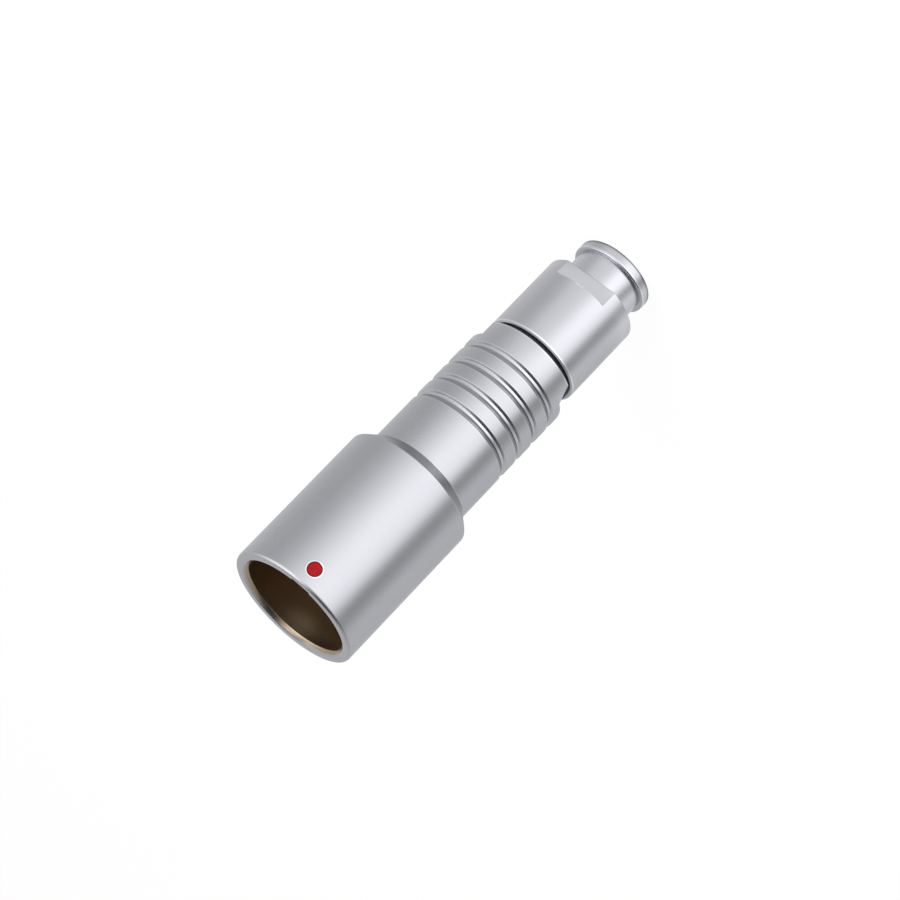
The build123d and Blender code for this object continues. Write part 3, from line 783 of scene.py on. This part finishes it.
def azimuthShare(tree, split, reach):
    # Turns the azimuth from the camera's side into a ramp's 0 to 1, with the camera at its middle
    toward = addNode(tree, "ShaderNodeMath", {"operation": "MULTIPLY", 1: -1}, {0: split.outputs["Y"]})
    azimuth = addNode(tree, "ShaderNodeMath", {"operation": "ARCTAN2"},
                      {0: split.outputs["X"], 1: toward.outputs[0]})
    turns = addNode(tree, "ShaderNodeMath", {
        "operation": "MULTIPLY_ADD", 1: 1 / (2 * pi), 2: 0.5 - cameraSpec["azimuth"] / 360,
    }, {0: azimuth.outputs[0]})
    share = addNode(tree, "ShaderNodeMath", {"operation": "FRACT"}, {0: turns.outputs[0]})
    # Close to the axis a reflection starts beside it, so the bands are drawn in to keep their direction
    inner = addNode(tree, "ShaderNodeMath", {"operation": "SUBTRACT", 1: tentSpec["axisReach"] * mm},
                    {0: reach})
    spread = addNode(tree, "ShaderNodeMath", {"operation": "DIVIDE"}, {0: reach, 1: inner.outputs[0]})
    centred = addNode(tree, "ShaderNodeMath", {"operation": "SUBTRACT", 1: 0.5}, {0: share.outputs[0]})
    return addNode(tree, "ShaderNodeMath", {"operation": "MULTIPLY_ADD", 2: 0.5},
                   {0: centred.outputs[0], 1: spread.outputs[0]}).outputs[0]


def tentFloor(tree, reach, factor):
    floor = toneRamp(tree, closeTones, factor)
    for start, full, tones in tentSpec["zones"]:
        outside = addNode(tree, "ShaderNodeMapRange", {**smoothSpan, 1: start * mm, 2: full * mm}, {0: reach})
        floor = addNode(tree, "ShaderNodeMix", colourMix, {
            0: outside.outputs[0], 6: floor, 7: toneRamp(tree, tones, factor),
        }).outputs[2]
    shade = addNode(tree, "ShaderNodeMapRange", {
        1: tentSpec["shadeInner"] * mm, 2: tentSpec["shadeOuter"] * mm, 3: tentSpec["shadeTone"],
    }, {0: reach})
    return addNode(tree, "ShaderNodeMix", tinting, {6: floor, 7: shade.outputs[0]}).outputs[2]


def tentTop(tree, place, height, factor):
    start, end = tentSpec["cardLow"]
    clear = addNode(tree, "ShaderNodeMapRange", {**smoothSpan, 1: start * mm, 2: end * mm}, {0: height})
    for azimuth, start, end in tentSpec["cardSides"]:
        along = addNode(tree, "ShaderNodeVectorMath", {"operation": "DOT_PRODUCT", 1: direction(azimuth, 0)},
                        {0: place})
        side = addNode(tree, "ShaderNodeMapRange", {**smoothSpan, 1: start * mm, 2: end * mm},
                       {0: along.outputs["Value"]})
        clear = addNode(tree, "ShaderNodeMath", {"operation": "MAXIMUM"},
                        {0: clear.outputs[0], 1: side.outputs[0]})
    card = addNode(tree, "ShaderNodeMapRange", {3: tentSpec["cardTone"]}, {0: clear.outputs[0]})
    return addNode(tree, "ShaderNodeMix", tinting, {
        6: toneRamp(tree, upperTones, factor), 7: card.outputs[0],
    }).outputs[2]


def tentMaterial():
    material, tree = newMaterial("tentPaper")
    place = addNode(tree, "ShaderNodeTexCoord").outputs["Object"]
    split = addNode(tree, "ShaderNodeSeparateXYZ", links={0: place})
    flat = addNode(tree, "ShaderNodeCombineXYZ", links={"X": split.outputs["X"], "Y": split.outputs["Y"]})
    reach = addNode(tree, "ShaderNodeVectorMath", {"operation": "LENGTH"},
                    {0: flat.outputs[0]}).outputs["Value"]
    factor = azimuthShare(tree, split, reach)
    rise = addNode(tree, "ShaderNodeMath", {"operation": "ARCTAN2"}, {0: split.outputs["Z"], 1: reach})
    high = addNode(tree, "ShaderNodeMapRange", {
        **smoothSpan, 1: radians(tentSpec["blendLow"]), 2: radians(tentSpec["blendHigh"]),
    }, {0: rise.outputs[0]})
    tone = addNode(tree, "ShaderNodeMix", colourMix, {
        0: high.outputs[0], 6: tentFloor(tree, reach, factor),
        7: tentTop(tree, place, split.outputs["Z"], factor),
    })
    glow = addNode(tree, "ShaderNodeEmission", {"Strength": tentSpec["strength"]}, {"Color": tone.outputs[2]})
    finishMaterial(tree, glow)
    material.cycles.emission_sampling = "NONE"
    return material


def stagePiece(bm, name, material):
    piece = addPiece(bm, name, material)
    return piece


def whiteBackground(tree, lit, share):
    # Camera, glossy and transmission rays meet plain white; the rest of the share keeps the shadow
    path = addNode(tree, "ShaderNodeLightPath")
    sight = addNode(tree, "ShaderNodeMath", {"operation": "MAXIMUM"},
                    {0: path.outputs["Is Camera Ray"], 1: path.outputs["Is Glossy Ray"]})
    clear = addNode(tree, "ShaderNodeMath", {"operation": "MAXIMUM"},
                    {0: sight.outputs[0], 1: path.outputs["Is Transmission Ray"]})
    factor = addNode(tree, "ShaderNodeMath", {"operation": "MULTIPLY", 1: share}, {0: clear.outputs[0]})
    kind = "ShaderNodeBackground" if lit.bl_idname == "ShaderNodeBackground" else "ShaderNodeEmission"
    white = addNode(tree, kind, {"Color": (1, 1, 1, 1), "Strength": 1})
    return addNode(tree, "ShaderNodeMixShader", links={
        0: factor.outputs[0], 1: lit.outputs[0], 2: white.outputs[0],
    })


floorSpec = {"hex": "#f2f2f2", "whiteShare": 0.94, "radius": 6000, "segments": 96}
floorMaterial, floorTree = newMaterial("floorPaper")
paper = addNode(floorTree, "ShaderNodeBsdfDiffuse", {"Color": linearColour(floorSpec["hex"])})
finishMaterial(floorTree, whiteBackground(floorTree, paper, floorSpec["whiteShare"]))
floorMesh = bmesh.new()
bmesh.ops.create_circle(floorMesh, cap_ends=True, segments=floorSpec["segments"], radius=floorSpec["radius"])
stagePiece(floorMesh, "floor", floorMaterial)

tentMesh = bmesh.new()
tentVerts = [tentMesh.verts.new((radius, 0, height)) for radius, height in tentSpec["section"]]
tentEdges = [tentMesh.edges.new(pair) for pair in zip(tentVerts, tentVerts[1:])]
bmesh.ops.spin(tentMesh, geom=tentVerts + tentEdges, cent=(0, 0, 0), axis=(0, 0, 1), angle=2 * pi,
               steps=tentSpec["steps"], use_merge=True)
tent = stagePiece(tentMesh, "tent", tentMaterial())
tent.visible_camera = False
tent.visible_diffuse = False
tent.visible_transmission = False
tent.visible_shadow = False

airStrength = 0.45
world = bpy.data.worlds.new("studio")
bpy.context.scene.world = world
world.use_nodes = True
world.node_tree.nodes.clear()
air = addNode(world.node_tree, "ShaderNodeBackground", {"Color": (1, 1, 1, 1), "Strength": airStrength})
surroundings = whiteBackground(world.node_tree, air, 1)
addNode(world.node_tree, "ShaderNodeOutputWorld", links={"Surface": surroundings.outputs[0]})

lamps = {
    "softKey": {"azimuth": 35, "elevation": 50, "distance": 0.8, "size": 0.5, "watts": 4.5},
    "softFill": {"azimuth": -60, "elevation": 40, "distance": 0.9, "size": 0.6, "watts": 2.0},
    "softTop": {"azimuth": 170, "elevation": 75, "distance": 0.9, "size": 0.7, "watts": 3.0},
}
aim = Vector((0, 0, cameraSpec["aimHeight"] * mm))
for name, lamp in lamps.items():
    light = bpy.data.lights.new(name, "AREA")
    light.shape = "DISK"
    light.size = lamp["size"]
    light.energy = lamp["watts"]
    holder = bpy.data.objects.new(name, light)
    away = direction(lamp["azimuth"], lamp["elevation"])
    holder.location = aim + away * lamp["distance"]
    holder.rotation_euler = away.to_track_quat("Z", "Y").to_euler()
    holder.visible_glossy = False  # the tent is what the metal mirrors
    bpy.context.scene.collection.objects.link(holder)

# Camera: the photograph looks down into the mouth and is turned so that the mouth points lower left
camera = bpy.data.objects.new("camera", bpy.data.cameras.new("camera"))
camera.data.lens = cameraSpec["lens"]
camera.data.sensor_width = cameraSpec["imageSize"] * cameraSpec["lens"] / cameraSpec["focalPixels"]
camera.data.clip_start = cameraSpec["clipStart"]
back = direction(0, cameraSpec["elevation"])
upright = (-back).to_track_quat("-Z", "Y").to_matrix()
turned = upright @ Matrix.Rotation(radians(-cameraSpec["roll"]), 3, "Z")
imageMiddle = cameraSpec["imageSize"] / 2
aimX, aimY = cameraSpec["aimPixel"]
sight = turned @ Vector((imageMiddle - aimX, aimY - imageMiddle, -cameraSpec["focalPixels"])).normalized()
swing = (turned @ Vector((0, 0, -1))).rotation_difference(sight)
camera.location = aim + back * cameraSpec["distance"]
camera.matrix_world = Matrix.Translation(camera.location) @ (swing.to_matrix() @ turned).to_4x4()
bpy.context.scene.collection.objects.link(camera)
bpy.context.scene.camera = camera
bpy.context.scene.view_settings.view_transform = "Standard"
print("studio set")
